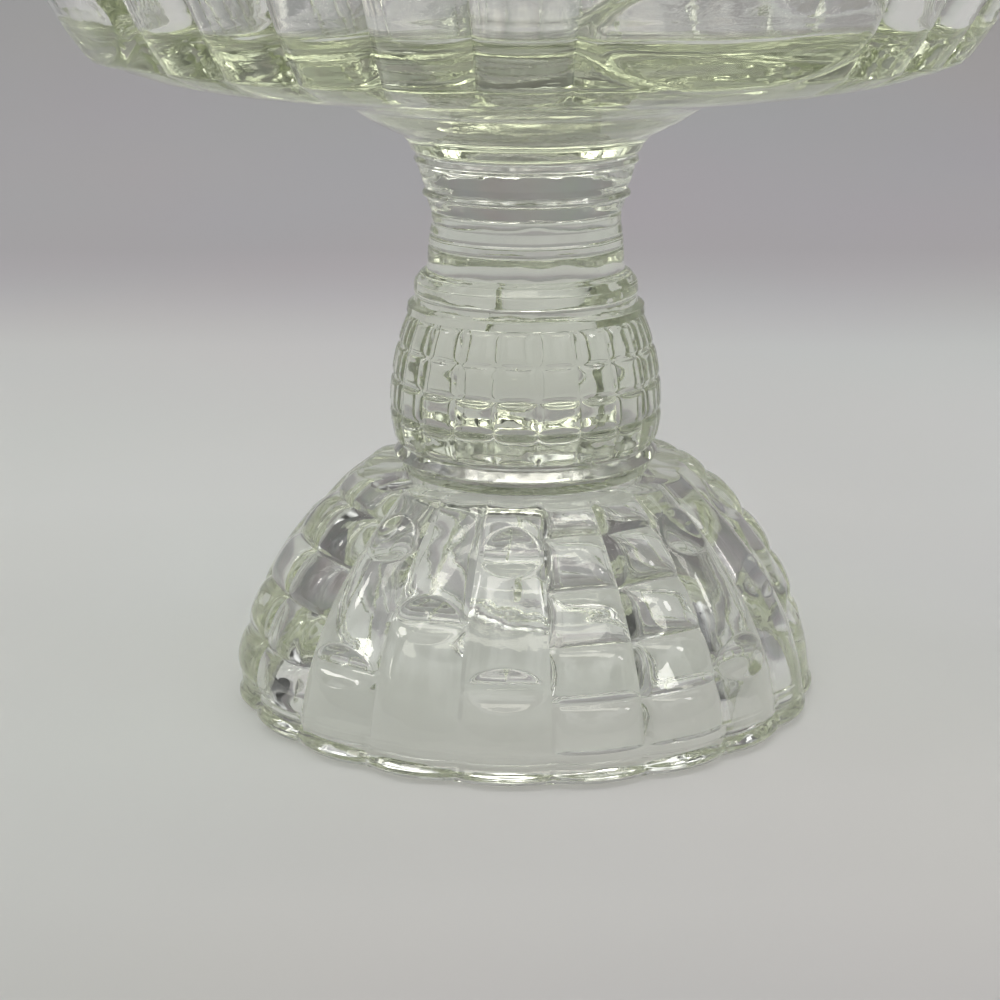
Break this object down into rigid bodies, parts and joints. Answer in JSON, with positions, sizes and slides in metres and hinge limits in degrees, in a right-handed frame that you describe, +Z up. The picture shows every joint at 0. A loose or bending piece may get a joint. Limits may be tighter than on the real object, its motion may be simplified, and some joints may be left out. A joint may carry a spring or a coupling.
{
  "type": "compote dish",
  "caption": "Footed pressed-glass serving dish: a wide fluted open bowl on a block-cut, ringed stem and a hollow bell foot with raised bricks and lens cuts.",
  "frame": {"origin": "centre of the foot's rim, on the surface the dish stands on", "axes": "+Z up the axis of the dish; the wide fields of the pattern face along +X, -X, +Y and -Y"},
  "size_m": [0.2056, 0.2056, 0.185],
  "materials": {
    "foot_glass": "gloss",
    "stem_glass": "gloss",
    "wafer_glass": "gloss",
    "bowl_glass": "gloss"
  },
  "bodies": {
    "root": {"foot": "foot_glass", "stem": "stem_glass", "joining_wafer": "wafer_glass", "bowl": "bowl_glass"}
  },
  "joints": []
}
